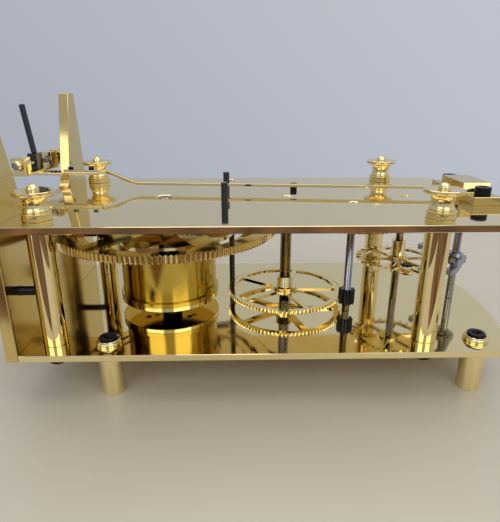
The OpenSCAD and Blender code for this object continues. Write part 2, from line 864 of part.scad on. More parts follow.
module barrel_drum() {
    color(satin_brass) at(barrel_at) translate([0, 0, drum_z + cap_t]) difference() {
        union() {
            cylinder(r = drum_r, h = drum_len);
            cylinder(r = drum_r + drum_flange, h = flange_w);
            translate([0, 0, drum_len - flange_w]) cylinder(r = drum_r + drum_flange, h = flange_w);
        }
        translate([0, 0, -1]) cylinder(r = drum_r - drum_wall, h = drum_len + 1 - drum_wall);
        translate([0, 0, -1]) cylinder(r = barrel_arbor_r + seat_play, h = drum_len + 2);
    }
}

module barrel_cap() {
    color(brass) at(barrel_at) translate([0, 0, drum_z]) difference() {
        cylinder(r = drum_r + drum_flange, h = cap_t);
        translate([0, 0, -1]) cylinder(r = barrel_arbor_r + seat_play, h = cap_t + 2);
        for (i = [0 : 3])
            rotate(45 + i * 90) translate([cap_holes_at, 0, -1]) cylinder(r = cap_hole_r, h = cap_t + 2);
    }
}

module barrel_ratchet() {
    color(steel) at(barrel_at) translate([0, 0, ratchet_z]) difference() {
        linear_extrude(ratchet_t) polygon(ratchet_points(ratchet_teeth, ratchet_r, ratchet_depth));
        translate([0, 0, -1]) cylinder(r = barrel_arbor_r + seat_play, h = ratchet_t + 2);
    }
}

module barrel_arbor() {
    color(steel) at(barrel_at) {
        between_plates(barrel_arbor_r, barrel_pivot_r, barrel_pivot_r);
        translate([-square_side / 2, -square_side / 2, front_out - square_len])
            cube([square_side, square_side, square_len + 1]);
    }
}

// Collet that keeps the great wheel down on the arbor
keep_r = 11;
keep_t = 3;

module barrel_collet() {
    color(brass) at(barrel_at) difference() {
        translate([0, 0, great_z + great_t + run_gap]) cylinder(r = keep_r, h = keep_t);
        hole([0, 0], barrel_arbor_r + seat_play, great_z + great_t, run_gap + keep_t);
    }
}

// Maintaining detent, its tip drawn just clear of the fine ratchet

detent_z = keeper_z;
detent_t = keeper_t - run_gap;
tip_angle = heading(barrel_at, detent_at) + detent_lead;
tip_at = barrel_at + polar(keeper_r + run_gap, tip_angle);
detent_reach = dist(detent_at, tip_at);
detent_heading = heading(detent_at, tip_at);
detent_boss_r = 3.6;
detent_half_w = 2.6;
detent_nose_w = 1.8;

module detent_arbor() {
    color(black_steel) at(detent_at) between_plates(detent_r, pivot_r, pivot_r);
}

module detent_arm() {
    color(steel) at(detent_at) rotate(detent_heading) translate([0, 0, detent_z]) difference() {
        union() {
            cylinder(r = detent_boss_r, h = detent_t);
            linear_extrude(detent_t) polygon([
                [0, -detent_half_w], [detent_reach - 1, -detent_nose_w], [detent_reach, 0], [0, detent_half_w]
            ]);
        }
        translate([0, 0, -1]) cylinder(r = detent_r + seat_play, h = detent_t + 2);
    }
}

// Centre arbor with its pinion, collet, wheel and cannon pinion

centre_z = front_in + centre_h;
pinion_over = 1.5;
centre_pinion_z = great_z - pinion_over;
centre_pinion_len = great_t + 2 * pinion_over;
centre_collet_h = 8;
cannon_z = front_out - run_gap - motion_t;
pipe_r = 3.4;
pipe_low = 6;
hand_seat = 2;

module centre_arbor() {
    color(steel) {
        between_plates(centre_arbor_r, centre_pivot_r, pivot_r);
        translate([0, 0, pipe_low - hand_seat])
            cylinder(r = centre_pivot_r, h = front_out - pipe_low + hand_seat + 1);
        translate([0, 0, centre_pinion_z])
            gear(centre_leaves, great_m, 180 + 180 / centre_leaves, leaf_add, centre_pinion_len);
    }
}

// Turned collet that carries a wheel on its arbor
collet_flange_t = 1.6;
flange_r = collet_r + 2;
centre_collet_r = collet_r + 1;
centre_flange_r = centre_collet_r + 2.2;

module collet(r, bore, h, rim) {
    difference() {
        union() {
            cylinder(r = r, h = h);
            cylinder(r = rim, h = collet_flange_t);
        }
        translate([0, 0, -1]) cylinder(r = bore, h = h + 2);
    }
}

module centre_collet() {
    color(brass) translate([0, 0, centre_z + wheel_t])
        collet(centre_collet_r, centre_arbor_r + seat_play, centre_collet_h, centre_flange_r);
}

module centre_wheel() {
    color(brass) translate([0, 0, centre_z])
        crossed_wheel(
            centre_teeth, centre_m, centre_heading, wheel_t,
            train_rim, centre_flange_r + 1, train_spokes, train_spoke_w, centre_arbor_r + seat_play
        );
}

module cannon_pinion() {
    color(steel) difference() {
        union() {
            translate([0, 0, cannon_z]) gear(cannon_teeth, cannon_m, 90, wheel_add, motion_t);
            translate([0, 0, pipe_low]) cylinder(r = pipe_r, h = cannon_z - pipe_low + 1);
        }
        hole([0, 0], centre_pivot_r + seat_play, pipe_low, cannon_z + motion_t - pipe_low);
    }
}

// Third arbor: pinion low, wheel close under the back plate

third_z = back_in - third_drop;
third_pinion_drop = 2;
third_pinion_z = centre_z + wheel_t / 2 - third_pinion_drop;
third_collet_h = 6;

module third_arbor() {
    color(steel) at(third_at) {
        between_plates(arbor_r, pivot_r, pivot_r);
        translate([0, 0, third_pinion_z])
            gear(third_leaves, centre_m, centre_heading + 180 + 180 / third_leaves, leaf_add, pinion_len);
    }
}

module third_collet() {
    color(brass) at(third_at) translate([0, 0, third_z]) mirror([0, 0, 1])
        collet(collet_r, arbor_r + seat_play, third_collet_h, flange_r);
}

module third_wheel() {
    color(brass) at(third_at) translate([0, 0, third_z])
        crossed_wheel(
            third_teeth, third_m, third_heading, wheel_t,
            train_rim, flange_r + 1, train_spokes, train_spoke_w, arbor_r + seat_play
        );
}

// Escape arbor and its wheel

escape_z = front_in + escape_h;
escape_pinion_z = back_in - end_shake - pinion_len;
escape_collet_h = 11;
tooth_depth = 4.5;
// Shares of the pitch at which an escape tooth's tip starts and ends, and where its back meets the root
tip_from = 0.32;
tip_to = 0.37;
back_to = 0.62;

// Pointed teeth that lean forward
function escape_points() = [
    for (i = [0 : escape_teeth - 1])
        let (a = i * 360 / escape_teeth, pitch = 360 / escape_teeth)
        each [
            polar(escape_r - tooth_depth, a),
            polar(escape_r, a + tip_from * pitch),
            polar(escape_r, a + tip_to * pitch),
            polar(escape_r - tooth_depth, a + back_to * pitch)
        ]
];

module escape_arbor() {
    color(steel) at(escape_at) {
        between_plates(arbor_r, pivot_r, pivot_r);
        translate([0, 0, pipe_low]) cylinder(r = pivot_r, h = front_out - pipe_low + 1);
        translate([0, 0, escape_pinion_z])
            gear(escape_leaves, third_m, third_heading + 180 + 180 / escape_leaves, leaf_add, pinion_len);
    }
}

module escape_collet() {
    color(brass) at(escape_at) translate([0, 0, escape_z + escape_t])
        collet(collet_r, arbor_r + seat_play, escape_collet_h, flange_r);
}

module escape_wheel() {
    color(brass) at(escape_at) translate([0, 0, escape_z]) difference() {
        linear_extrude(escape_t) polygon(escape_points());
        crossings(
            escape_r - tooth_depth - escape_rim, flange_r + 0.5, escape_spokes, escape_spoke_w, escape_t
        );
        translate([0, 0, -1]) cylinder(r = arbor_r + seat_play, h = escape_t + 2);
    }
}

// Pallets and crutch, drawn swung up to the far banking pin

bank_reach = dist(pallet_at, [-bank_x, bank_half_y]);
bank_angle = atan2(bank_half_y, pallet_at[0] + bank_x);
crutch_swing = bank_angle - asin((crutch_w / 2 + bank_r + run_gap) / bank_reach);

module on_pallet_arbor() {
    at(pallet_at) rotate(-crutch_swing) children();
}

nib_reach = sqrt(pallet_dist * pallet_dist - escape_r * escape_r);
nib_angle = acos(nib_reach / pallet_dist);
nib_lift = (nib_reach + nib_w / 2) * sin(crutch_swing) + run_gap;
pallet_z = escape_z + escape_t / 2 - pallet_t / 2;
hub_h = cock_h - bridge_t - 2 * run_gap;
crutch_hub_r = 4.2;
pallet_boss_r = 6.5;
pallet_sleeve = 2;
// Sizes of a pallet arm: its root on the boss, its elbow and the slope of its nib's face
arm_root = [3.5, 6];
elbow_back = 6;
elbow_drop = 5;
nib_slope = 1.2;
nib_len = 9;

module pallet_arbor() {
    color(steel) on_pallet_arbor() {
        translate([0, 0, front_in + end_shake])
            cylinder(r = arbor_r, h = back_out + cock_h - bridge_t - end_shake - front_in - end_shake);
        translate([0, 0, front_out]) cylinder(r = pivot_r, h = plate_t + 1);
        translate([0, 0, back_out + cock_h - bridge_t - 1]) cylinder(r = pivot_r, h = bridge_t + 1);
    }
}

// Anchor with a hub, two arms and a nib at each arm's end
module pallets() {
    color(steel) on_pallet_arbor() translate([0, 0, pallet_z]) difference() {
        union() {
            translate([0, 0, -pallet_sleeve]) cylinder(r = collet_r, h = pallet_t + 2 * pallet_sleeve);
            cylinder(r = pallet_boss_r, h = pallet_t);
            for (s = [-1, 1])
                mirror([0, s < 0 ? 1 : 0, 0]) rotate(180 - nib_angle) linear_extrude(pallet_t) polygon([
                    [0, -arm_root[0]], [nib_reach - elbow_back, -nib_lift - elbow_drop],
                    [nib_reach - nib_w / 2, -nib_lift - elbow_drop], [nib_reach - nib_w / 2, -nib_lift],
                    [nib_reach + nib_w / 2, -nib_lift - nib_slope],
                    [nib_reach + nib_w / 2, -nib_lift - nib_len],
                    [nib_reach - elbow_back, -nib_lift - nib_len], [0, -arm_root[1]]
                ]);
        }
        translate([0, 0, -pallet_sleeve - 1])
            cylinder(r = arbor_r + seat_play, h = pallet_t + 2 * pallet_sleeve + 2);
    }
}

beat_x = plate_low + board_t + beat_out;
arm_end_x = beat_x - arm_short;
joggle_x = arm_end_x - arm_lap - joggle_len;
foot_end_x = beat_x + foot_tail;
foot_lip = 0.5;
arm_w_foot = crutch_w + 2 * foot_lip;
crutch_z = back_out + crutch_low;
raised_z = back_out + crutch_high;
foot_z = raised_z - foot_t;
screw_inset = 4;
screw_apart = 13;
arm_screws = [arm_end_x - screw_inset - screw_apart, arm_end_x - screw_inset];
tiny_screw_r = 0.8;
tiny_head_r = 1.6;
tiny_head_h = 1.6;

// Height of the arm's underside along the crutch, from its hub to its end
module arm_profile() {
    rise = raised_z - crutch_z;
    hub_x = pallet_at[0];
    start = -(hub_x + joggle_x);
    top = start - joggle_len;
    end = -(hub_x + arm_end_x);
    polygon([
        [0, 0], [start, 0], [top, rise], [end, rise], [end, rise + crutch_t],
        [top, rise + crutch_t], [start, crutch_t], [0, crutch_t]
    ]);
}

module crutch_arm() {
    color(brass) on_pallet_arbor() difference() {
        union() {
            translate([0, crutch_w / 2, crutch_z])
                rotate([90, 0, 0]) linear_extrude(crutch_w) arm_profile();
            translate([0, 0, back_out + run_gap]) cylinder(r = crutch_hub_r, h = hub_h);
        }
        hole([0, 0], arbor_r + seat_play, back_out, cock_h);
        for (x = arm_screws)
            hole([-pallet_at[0] - x, 0], tiny_screw_r + screw_play, raised_z, crutch_t);
    }
}

// Foot plate with a yoke on it, whose two square ears carry the beat screw
module crutch_foot() {
    hub_x = pallet_at[0];
    color(brass) on_pallet_arbor() difference() {
        union() {
            translate([-hub_x - arm_end_x, -arm_w_foot / 2, foot_z])
                cube([arm_end_x - joggle_x - joggle_len - 1, arm_w_foot, foot_t]);
            translate([-hub_x - foot_end_x, -foot_w / 2, foot_z])
                cube([foot_end_x - arm_end_x - run_gap, foot_w, foot_t]);
            translate([-hub_x - arm_end_x - 1, -arm_w_foot / 2, foot_z]) cube([2, arm_w_foot, foot_t]);
            translate([-hub_x - beat_x - ear_w / 2, -yoke_half - ear_t, raised_z - eps])
                cube([ear_w, 2 * (yoke_half + ear_t), yoke_t + eps]);
            for (s = [-1, 1])
                translate([-hub_x - beat_x - ear_w / 2, s > 0 ? yoke_half : -yoke_half - ear_t, raised_z - eps])
                    cube([ear_w, ear_t, ear_h + eps]);
        }
        translate([-hub_x - beat_x, far / 2, raised_z + beat_axis_h])
            rotate([90, 0, 0]) cylinder(r = beat_r + pivot_play, h = far);
        for (x = arm_screws)
            hole([-hub_x - x, 0], tiny_screw_r + screw_play, foot_z, foot_t);
    }
}

module crutch_screws() {
    color(black_steel) on_pallet_arbor() for (x = arm_screws)
        translate([-pallet_at[0] - x, 0, raised_z + crutch_t])
            rotate([180, 0, 0]) cap_screw(tiny_screw_r, tiny_head_r, tiny_head_h, crutch_t + foot_t);
}

// Beat adjuster: a screw across the crutch moves the block that carries the pin

module on_beat_axis() {
    on_pallet_arbor() translate([-pallet_at[0] - beat_x, 0, raised_z + beat_axis_h])
        rotate([-90, 0, 0]) children();
}

beat_end = yoke_half + ear_t;
boss_len = 3;
boss_r = 3.3;
nut_bevel = 0.8;
knob_knurls = 28;
knurl_depth = 0.35;

module beat_screw() {
    color(steel) on_beat_axis()
        translate([0, 0, -beat_end - run_gap - beat_nut_len])
            cylinder(r = beat_r, h = 2 * beat_end + 2 * run_gap + beat_nut_len + boss_len + knob_len);
}

module beat_nut() {
    color(brass) on_beat_axis() translate([0, 0, -beat_end - run_gap - beat_nut_len]) difference() {
        union() {
            cylinder(r1 = beat_nut_r - nut_bevel, r2 = beat_nut_r, h = nut_bevel);
            translate([0, 0, nut_bevel]) cylinder(r = beat_nut_r, h = beat_nut_len - nut_bevel);
        }
        translate([0, 0, -1]) cylinder(r = beat_r + seat_play, h = beat_nut_len + 2);
    }
}

module beat_knob() {
    color(brass) on_beat_axis() translate([0, 0, beat_end + run_gap]) difference() {
        union() {
            cylinder(r = boss_r, h = boss_len + 1);
            translate([0, 0, boss_len])
                linear_extrude(knob_len) polygon(knurl_points(knob_knurls, knob_r, knurl_depth));
        }
        translate([0, 0, -1]) cylinder(r = beat_r + seat_play, h = boss_len + knob_len + 2);
    }
}

// Outline of a knurled edge
function knurl_points(teeth, r, depth) = [
    for (i = [0 : 2 * teeth - 1])
        polar(i % 2 == 0 ? r : r - depth, i * 180 / teeth)
];

block_gap = 0.1;
block_z = raised_z + yoke_t + block_gap;

module beat_block() {
    color(black_steel) difference() {
        on_pallet_arbor()
            translate([-pallet_at[0] - beat_x - block_w / 2, -block_len / 2, block_z])
                cube([block_w, block_len, block_h]);
        on_beat_axis() translate([0, 0, -block_len]) cylinder(r = beat_r + pivot_play, h = 2 * block_len);
    }
}

module crutch_pin() {
    color(black_steel) on_pallet_arbor() translate([-pallet_at[0] - beat_x, 0, block_z + block_h]) difference() {
        rotate([0, -pin_lean, 0]) translate([0, 0, -2]) cylinder(r = pin_r, h = pin_len + 2);
        translate([-block_w, -block_w, -2 * block_w]) cube(2 * block_w);
    }
}

// Motion work under the front plate

stud_foot_r = 2;
stud_r = 1.6;
pinion_z = cannon_z - run_gap - motion_t;
hour_pipe_wall = 1.4;
hour_pipe_r = pipe_r + pivot_play + hour_pipe_wall;
hour_shoulder = 3.2;
hour_pipe_set = 4;
minute_hub = 6;
stud_head_r = 2.5;
stud_head_h = 1.5;

module minute_stud() {
    color(steel) at(stud_at) {
        translate([0, 0, front_out]) cylinder(r = stud_foot_r, h = plate_t);
        translate([0, 0, pinion_z - run_gap]) cylinder(r = stud_r, h = front_out - pinion_z + run_gap + 1);
        translate([0, 0, pinion_z - run_gap - stud_head_h]) cylinder(r = stud_head_r, h = stud_head_h);
    }
}

module minute_wheel() {
    color(brass) at(stud_at) difference() {
        union() {
            translate([0, 0, cannon_z])
                crossed_wheel(
                    minute_teeth, cannon_m, 270 + 180 / minute_teeth, motion_t,
                    motion_rim, minute_hub, motion_spokes, motion_spoke_w, stud_r
                );
            translate([0, 0, pinion_z]) gear(minute_leaves, hour_m, 270, leaf_add, motion_t + run_gap + 1);
        }
        hole([0, 0], stud_r + pivot_play, pinion_z, front_out - pinion_z);
    }
}

module hour_wheel() {
    color(brass) difference() {
        union() {
            translate([0, 0, pinion_z])
                crossed_wheel(
                    hour_teeth, hour_m, 90 + 180 / hour_teeth, motion_t,
                    motion_rim, hour_pipe_r + hour_shoulder, motion_spokes, motion_spoke_w, pipe_r
                );
            translate([0, 0, pipe_low + hour_pipe_set])
                cylinder(r = hour_pipe_r, h = pinion_z - pipe_low - hour_pipe_set + 1);
        }
        hole([0, 0], pipe_r + pivot_play, pipe_low, front_out - pipe_low);
    }
}

front_plate();
back_plate();
pillar_near_low();
pillar_near_high();
pillar_far_low();
pillar_far_high();
nut_near_low();
nut_near_high();
nut_far_low();
nut_far_high();
post_near_low();
post_near_high();
post_far_low();
post_far_high();
pillar_screws();
post_screws();
post_washers();
seat_board();
seat_screws();
back_cock();
cock_screws();
banking_pins();
detent_spring();
spring_screw();
minute_stud();
great_wheel();
keeper_ratchet();
click_spring();
click_screw();
click();
barrel_drum();
barrel_cap();
barrel_ratchet();
barrel_arbor();
barrel_collet();
detent_arbor();
detent_arm();
centre_arbor();
centre_collet();
centre_wheel();
cannon_pinion();
third_arbor();
third_collet();
third_wheel();
escape_arbor();
escape_collet();
escape_wheel();
pallet_arbor();
pallets();
crutch_arm();
crutch_foot();
crutch_screws();
beat_screw();
beat_nut();
beat_knob();
beat_block();
crutch_pin();
minute_wheel();
hour_wheel();
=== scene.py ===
import json
import math

import bmesh
import bpy
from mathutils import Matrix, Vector

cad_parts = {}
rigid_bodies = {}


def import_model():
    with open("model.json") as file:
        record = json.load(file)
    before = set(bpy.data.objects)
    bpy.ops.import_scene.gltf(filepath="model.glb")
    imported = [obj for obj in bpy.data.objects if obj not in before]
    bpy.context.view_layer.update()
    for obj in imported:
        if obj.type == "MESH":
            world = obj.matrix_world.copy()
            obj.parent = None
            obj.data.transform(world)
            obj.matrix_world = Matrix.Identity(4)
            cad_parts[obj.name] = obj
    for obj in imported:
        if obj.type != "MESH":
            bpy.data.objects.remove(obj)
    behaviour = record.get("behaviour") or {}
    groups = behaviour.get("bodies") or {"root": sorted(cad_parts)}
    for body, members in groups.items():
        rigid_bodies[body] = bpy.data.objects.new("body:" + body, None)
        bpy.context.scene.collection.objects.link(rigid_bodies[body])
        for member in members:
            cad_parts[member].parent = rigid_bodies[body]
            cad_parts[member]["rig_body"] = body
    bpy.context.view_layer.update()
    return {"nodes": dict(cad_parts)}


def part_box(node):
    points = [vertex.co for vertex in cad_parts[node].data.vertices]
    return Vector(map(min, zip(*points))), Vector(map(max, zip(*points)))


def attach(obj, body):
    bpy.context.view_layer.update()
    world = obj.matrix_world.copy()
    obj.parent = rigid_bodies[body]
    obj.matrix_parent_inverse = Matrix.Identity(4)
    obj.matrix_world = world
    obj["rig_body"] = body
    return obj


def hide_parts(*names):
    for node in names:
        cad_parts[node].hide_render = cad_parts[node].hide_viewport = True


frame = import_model()
MM = 0.001

# Places and levels of the movement, in millimetres, as the solids have them
BARREL = (-70.8, 0.0)
CENTRE = (0.0, 0.0)
THIRD = (35.0, -17.0)
ESCAPE = (68.9, 0.0)
PALLET = (104.7, 0.0)
FRONT_TOP = 28.5
BACK_TOP = 94.0
POST_RUN, POST_SPAN = 192.0, 106.0


# Camera: where the photograph was taken from, looking a little down
camera = bpy.data.objects.new("camera", bpy.data.cameras.new("camera"))
bpy.context.scene.collection.objects.link(camera)
camera.location = (-27.2 * MM, -263.8 * MM, 148.5 * MM)
camera.rotation_euler = (math.radians(70.305), 0, math.radians(-1.205))
camera.data.sensor_fit = "HORIZONTAL"
camera.data.sensor_width = 36
camera.data.lens = 32.95
camera.data.clip_start = 0.005
bpy.context.scene.camera = camera
bpy.context.scene.view_settings.view_transform = "Standard"


# Node trees

# Colour sockets of a Mix node, which share their names with its number sockets
COLOUR_A, COLOUR_B, COLOUR_OUT = 6, 7, 2


def add(tree, kind, inputs=None, **settings):
    """Adds a node: settings are its own properties, inputs are values or other nodes' outputs."""
    node = tree.nodes.new(kind)
    for name, value in settings.items():
        setattr(node, name, value)
    for key, value in (inputs or {}).items():
        if isinstance(value, bpy.types.NodeSocket):
            tree.links.new(value, node.inputs[key])
        else:
            node.inputs[key].default_value = value
    return node


def lin(colour):
    """Linear colour of an sRGB hex value."""
    parts = [int(colour[i:i + 2], 16) / 255 for i in (1, 3, 5)]
    return tuple(c / 12.92 if c <= 0.04045 else ((c + 0.055) / 1.055) ** 2.4 for c in parts) + (1.0,)


def marks_apart(spacing):
    """Noise scale that lays marks about this many millimetres apart, which is half a cell of the noise."""
    return 1 / (2 * spacing * MM)


def new_material(name):
    """Empty material with its node tree."""
    material = bpy.data.materials.new(name)
    material.use_nodes = True
    material.node_tree.nodes.clear()
    return material, material.node_tree


def round_axis(tree):
    """A point's place about the piece's own axis, and its distance from that axis."""
    place = add(tree, "ShaderNodeAttribute", attribute_name="from_axis").outputs["Vector"]
    flat = add(tree, "ShaderNodeVectorMath", {0: place, 1: (1.0, 1.0, 0.0)}, operation="MULTIPLY")
    radius = add(tree, "ShaderNodeVectorMath", {0: flat.outputs[0]}, operation="LENGTH")
    return place, radius.outputs["Value"]


def finished(tree, tint, tones, marks, rough, levels, relief=None, spread=(0.3, 0.7)):
    """Surface whose colour runs between two tones by one pattern, and its roughness between two values by another.

    levels are the shader's own even values, relief is a pattern with the strength and the depth in mm of its bump,
    and spread is the part of the noise's range that the roughness follows.
    """
    colour = add(tree, "ShaderNodeMix", {
        0: tint, COLOUR_A: lin(tones[0]), COLOUR_B: lin(tones[1])}, data_type="RGBA")
    sheen = add(tree, "ShaderNodeMapRange", {
        "Value": marks, "From Min": spread[0], "From Max": spread[1], "To Min": rough[0], "To Max": rough[1]})
    shader = add(tree, "ShaderNodeBsdfPrincipled", {
        "Base Color": colour.outputs[COLOUR_OUT], "Roughness": sheen.outputs[0], **levels})
    if relief:
        height, strength, depth = relief
        bump = add(tree, "ShaderNodeBump", {"Height": height, "Strength": strength, "Distance": depth * MM})
        tree.links.new(bump.outputs[0], shader.inputs["Normal"])
    add(tree, "ShaderNodeOutputMaterial", {"Surface": shader.outputs[0]})
    return shader


# Materials

BARE_METAL = {"Metallic": 1.0}
BLACKED_METAL = {"Metallic": 0.8}


def polished_brass():
    """Cartridge brass, buffed to a mirror and lacquered: clear warm reflections, faint wiping hairlines."""
    material, tree = new_material("Lacquered mirror-polished brass")
    place = add(tree, "ShaderNodeTexCoord").outputs["Object"]
    # Soft clouds of lacquer about 15 mm apart, and hairlines about 0.25 mm apart along the plates
    cloud = add(tree, "ShaderNodeTexNoise", {"Vector": place, "Scale": marks_apart(15), "Detail": 2.0}).outputs[0]
    along = add(tree, "ShaderNodeMapping", {"Vector": place, "Scale": (0.05, 1.0, 0.3)}).outputs[0]
    hair = add(tree, "ShaderNodeTexNoise", {"Vector": along, "Scale": marks_apart(0.25), "Detail": 3.0}).outputs[0]
    finished(tree, cloud, ("#ebd8a0", "#efdfac"), cloud, (0.035, 0.085), BARE_METAL, relief=(hair, 0.03, 0.02))
    return material


def grained_brass():
    """Brass board papered upwards, then buffed: blurred reflections drawn out across a faint upright grain."""
    material, tree = new_material("Straight-grained buffed brass")
    place = add(tree, "ShaderNodeTexCoord").outputs["Object"]
    # Paper marks about 0.3 mm apart and sixteen times as long, drawn coarser than real grit so that they show
    along = add(tree, "ShaderNodeMapping", {"Vector": place, "Scale": (1.0, 1.0, 0.06)}).outputs[0]
    grain = add(tree, "ShaderNodeTexNoise", {"Vector": along, "Scale": marks_apart(0.3), "Detail": 4.0}).outputs[0]
    # Clouds from buffing about 12 mm apart
    cloud = add(tree, "ShaderNodeTexNoise", {"Vector": place, "Scale": marks_apart(12.5), "Detail": 2.0}).outputs[0]
    finished(tree, cloud, ("#d2ba78", "#dac487"), grain, (0.1, 0.19), BARE_METAL, relief=(grain, 0.08, 0.03))
    return material


def turned_brass(name, spacing, rough, strength, tones=("#e9d596", "#efdea6")):
    """Brass left from the lathe: fine rings round the piece's own axis draw the light into a bright band."""
    material, tree = new_material(name)
    place, radius = round_axis(tree)
    height = add(tree, "ShaderNodeSeparateXYZ", {0: place}).outputs["Z"]
    lathe = add(tree, "ShaderNodeCombineXYZ", {0: radius, 2: height}).outputs[0]
    # Tool marks at the spacing given in mm, coarser than a real finishing cut so that they show
    rings = add(tree, "ShaderNodeTexNoise", {
        "Vector": lathe, "Scale": marks_apart(spacing), "Detail": 4.0, "Roughness": 0.7}).outputs[0]
    finished(tree, rings, tones, rings, rough, BARE_METAL, relief=(rings, strength, 0.02))
    return material


def polished_steel(name, blacked=None):
    """Hardened and burnished carbon steel: silver with sharp highlights and faint rings from burnishing.

    Where blacked is given, leaves that stand out further from the axis, in mm, are near black.
    """
    material, tree = new_material(name)
    place = add(tree, "ShaderNodeTexCoord").outputs["Object"]
    # Burnishing rings about 0.4 mm apart up each arbor
    along = add(tree, "ShaderNodeMapping", {"Vector": place, "Scale": (0.1, 0.1, 1.0)}).outputs[0]
    rings = add(tree, "ShaderNodeTexNoise", {"Vector": along, "Scale": marks_apart(0.4), "Detail": 3.0}).outputs[0]
    shader = finished(tree, rings, ("#8e9096", "#a6a8ae"), rings, (0.1, 0.22), BARE_METAL)
    if blacked:
        # The black begins within 0.2 mm
        outer = add(tree, "ShaderNodeMapRange", {
            "Value": round_axis(tree)[1], "From Min": blacked * MM, "From Max": (blacked + 0.2) * MM})
        silver = shader.inputs["Base Color"].links[0].from_socket
        colour = add(tree, "ShaderNodeMix", {
            0: outer.outputs[0], COLOUR_A: silver, COLOUR_B: lin("#34353b")}, data_type="RGBA")
        tree.links.new(colour.outputs[COLOUR_OUT], shader.inputs["Base Color"])
    return material


def black_steel(name, rough, tones):
    """Steel blacked in oil: near black with a grey sheen, soft on the screws and sharp on the polished pins."""
    material, tree = new_material(name)
    place = add(tree, "ShaderNodeTexCoord").outputs["Object"]
    # Pits about 0.3 mm apart
    pits = add(tree, "ShaderNodeTexNoise", {"Vector": place, "Scale": marks_apart(0.3), "Detail": 3.0}).outputs[0]
    finished(tree, pits, tones, pits, rough, BLACKED_METAL, relief=(pits, 0.1, 0.02))
    return material


# Each finish is a material and a slot's name
POLISHED = (polished_brass(), "polished_brass")
GRAINED = (grained_brass(), "satin_brass")
SATIN_TURNED = (turned_brass("Lathe-turned satin brass", spacing=0.4, rough=(0.2, 0.27), strength=0.12,
                             tones=("#f3dfa0", "#f8e9b4")), "satin_brass")
FINE_TURNED = (turned_brass("Finely turned yellow brass", spacing=0.3, rough=(0.11, 0.17), strength=0.25,
                            tones=("#c0a242", "#d2b656")), "satin_brass")
BRIGHT_TURNED = (turned_brass("Lathe-polished brass", spacing=0.35, rough=(0.05, 0.1), strength=0.05),
                 "polished_brass")
STEEL = (polished_steel("Burnished carbon steel"), "polished_steel")
DARK_LEAVES = (polished_steel("Burnished carbon steel with black leaves", blacked=2.4), "polished_steel")
BLACK = (black_steel("Oil-blacked steel", rough=(0.28, 0.4), tones=("#1b1b20", "#2a2a31")), "black_steel")
DARK_PIN = (black_steel("Blacked and polished steel", rough=(0.1, 0.18), tones=("#3c3d44", "#4c4d55")),
            "black_steel")


# Making pieces

SAME_PLACE = 1e-6  # points nearer than this, in metres, are one
LEVEL_ANGLE = math.radians(0.3)  # faces that meet at less are one flat face
SHADE_ANGLE = math.radians(31)  # faces that meet at less are shaded as one curve
EDGE_ANGLE = math.radians(32)  # edges of a solid that are sharper get broken
RIM_ANGLE = math.radians(80)  # the same for a wheel, whose teeth keep their own edges
LEVEL_FACE = 0.9999  # upward part of a level face's normal
LATHE_STEPS = 96  # faces round a turned piece


def link(name, mesh):
    """Puts a mesh into the scene as an object."""
    piece = bpy.data.objects.new(name, mesh)
    bpy.context.scene.collection.objects.link(piece)
    return piece


def break_edges(bm, edges, width):
    """Breaks sharp edges by a narrow chamfer."""
    bmesh.ops.bevel(bm, geom=edges, offset=width * MM, offset_type="OFFSET", segments=1, profile=0.5,
                    affect="EDGES", clamp_overlap=False)


def into_mesh(bm, mesh, axis):
    """Writes the shape to a mesh, level faces flat and curved ones smooth, and its places about its own axis."""
    bm.to_mesh(mesh)
    bm.free()
    mesh.set_sharp_from_angle(angle=SHADE_ANGLE)
    mesh.polygons.foreach_set("use_smooth", [abs(face.normal.z) < LEVEL_FACE for face in mesh.polygons])
    away = mesh.attributes.new("from_axis", "FLOAT_VECTOR", "POINT")
    for point, vertex in zip(away.data, mesh.vertices):
        point.vector = (vertex.co.x - axis[0] * MM, vertex.co.y - axis[1] * MM, vertex.co.z)


def seat(name, mesh, finish, *nodes):
    """Makes the mesh a piece that stands for these solids and moves with them."""
    material, slot = finish
    mesh.materials.clear()
    mesh.materials.append(material)
    piece = link(name, mesh)
    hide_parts(*nodes)
    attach(piece, frame["nodes"][nodes[0]]["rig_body"])


def dressed(node, finish, edge, axis=CENTRE, bend=None):
    """A solid of the movement with merged faces, broken edges and smooth curves, bent first where bend is given."""
    bm = bmesh.new()
    bm.from_mesh(frame["nodes"][node].data)
    bmesh.ops.remove_doubles(bm, verts=bm.verts, dist=SAME_PLACE)
    bmesh.ops.dissolve_limit(bm, angle_limit=LEVEL_ANGLE, verts=bm.verts, edges=bm.edges)
    if bend:
        bend(bm)
    break_edges(bm, [e for e in bm.edges if e.is_manifold and e.calc_face_angle() > EDGE_ANGLE], edge)
    mesh = bpy.data.meshes.new(node + "_dressed")
    into_mesh(bm, mesh, axis)
    seat(node + "_dressed", mesh, finish, node)


def turned(name, profile):
    """Mesh of a turned piece: the profile's (radius, height) points in millimetres, spun about its axis."""
    bm = bmesh.new()
    turns = [2 * math.pi * i / LATHE_STEPS for i in range(LATHE_STEPS)]
    rings = []
    for radius, height in profile:
        if radius == 0:
            rings.append([bm.verts.new((0, 0, height * MM))])
        else:
            rings.append([bm.verts.new((radius * MM * math.cos(a), radius * MM * math.sin(a), height * MM))
                          for a in turns])
    for low, high in zip(rings, rings[1:]):
        for i in range(LATHE_STEPS):
            j = (i + 1) % LATHE_STEPS
            corners = [low[i % len(low)], low[j % len(low)], high[j % len(high)], high[i % len(high)]]
            bm.faces.new(list(dict.fromkeys(corners)))
    bmesh.ops.remove_doubles(bm, verts=bm.verts, dist=SAME_PLACE)
    bmesh.ops.recalc_face_normals(bm, faces=bm.faces)
    mesh = bpy.data.meshes.new(name)
    into_mesh(bm, mesh, CENTRE)
    return mesh


